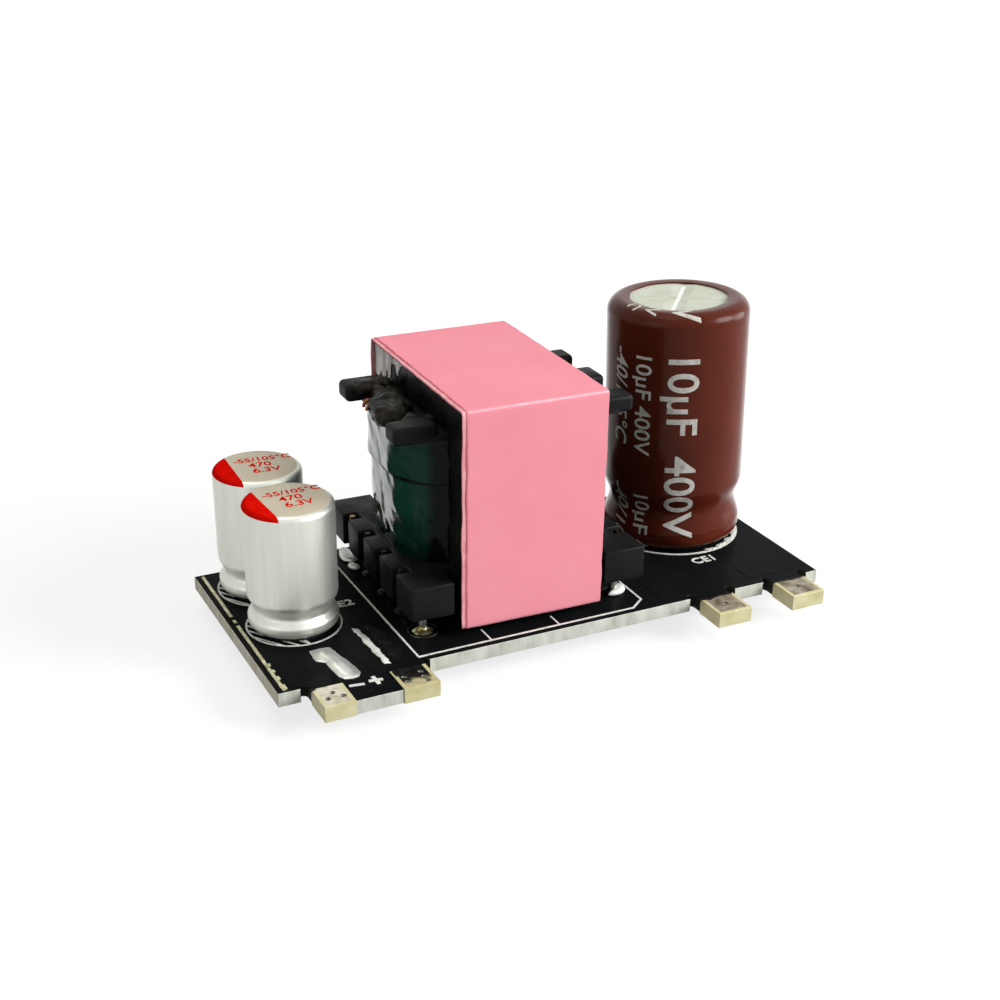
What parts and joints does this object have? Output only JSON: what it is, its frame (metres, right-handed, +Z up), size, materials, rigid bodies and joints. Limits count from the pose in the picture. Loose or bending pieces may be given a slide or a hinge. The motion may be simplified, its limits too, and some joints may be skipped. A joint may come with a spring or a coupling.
{
  "type": "power supply module",
  "caption": "Open-frame mains to low-voltage power supply board with solder tabs, a tape-wrapped ferrite transformer, metal-can output capacitors and a sleeved input capacitor",
  "frame": {"origin": "middle of the bounding box, on the plane of the trimmed lead tips that the module rests on", "axes": "+X along the board from the output end to the input end, +Y from the solder tabs to the back edge, +Z up from the board to the tall parts"},
  "size_m": [0.0422, 0.0216, 0.0213],
  "materials": {
    "solder_mask_board": "black solder mask over glass laminate, cut edges pale",
    "gold_plating": "bright plating",
    "tin": "bright tin and solder",
    "can_aluminium": "satin drawn can",
    "brown_sleeve": "glossy shrink sleeve",
    "black_rubber": "matte",
    "ferrite": "dark sintered, varnished",
    "pink_tape": "smooth polyester tape",
    "bobbin_plastic": "moulded",
    "copper_wire": "enamelled copper",
    "amber_tape": "thin polyester tape",
    "green_tape": "glossy polyester tape",
    "chip_plastic": "moulded epoxy",
    "resistor_ceramic": "black overcoat",
    "capacitor_ceramic": "fired"
  },
  "bodies": {
    "root": {"circuit_board": "solder_mask_board", "negative_pad": "gold_plating", "positive_pad": "gold_plating", "live_pad": "gold_plating", "neutral_pad": "gold_plating", "tinned_tracks": "tin", "front_output_capacitor_can": "can_aluminium", "front_output_capacitor_bung": "black_rubber", "front_output_capacitor_leads": "tin", "rear_output_capacitor_can": "can_aluminium", "rear_output_capacitor_bung": "black_rubber", "rear_output_capacitor_leads": "tin", "input_capacitor_can": "can_aluminium", "input_capacitor_sleeve": "brown_sleeve", "input_capacitor_bung": "black_rubber", "input_capacitor_leads": "tin", "core_lower_half": "ferrite", "core_upper_half": "ferrite", "core_band": "pink_tape", "bobbin": "bobbin_plastic", "inner_winding": "copper_wire", "insulation_tape": "amber_tape", "outer_winding": "copper_wire", "cover_tape": "green_tape", "transformer_pin_1": "tin", "transformer_pin_2": "tin", "transformer_pin_3": "tin", "transformer_pin_4": "tin", "transformer_pin_5": "tin", "transformer_pin_6": "tin", "transformer_pin_7": "tin", "transformer_pin_8": "tin", "transformer_pin_9": "tin", "transformer_pin_10": "tin", "pin_wraps": "tin", "winding_lead_outs": "copper_wire", "pin_fillets": "tin", "solder_joints": "tin", "bridge_rectifier": "chip_plastic", "bridge_rectifier_leads": "tin", "control_chip": "chip_plastic", "control_chip_leads": "tin", "output_rectifier": "chip_plastic", "output_rectifier_leads": "tin", "clamp_diode": "chip_plastic", "clamp_diode_leads": "tin", "chip_resistors": "resistor_ceramic", "chip_capacitors": "capacitor_ceramic", "chip_end_caps": "tin"}
  },
  "joints": []
}
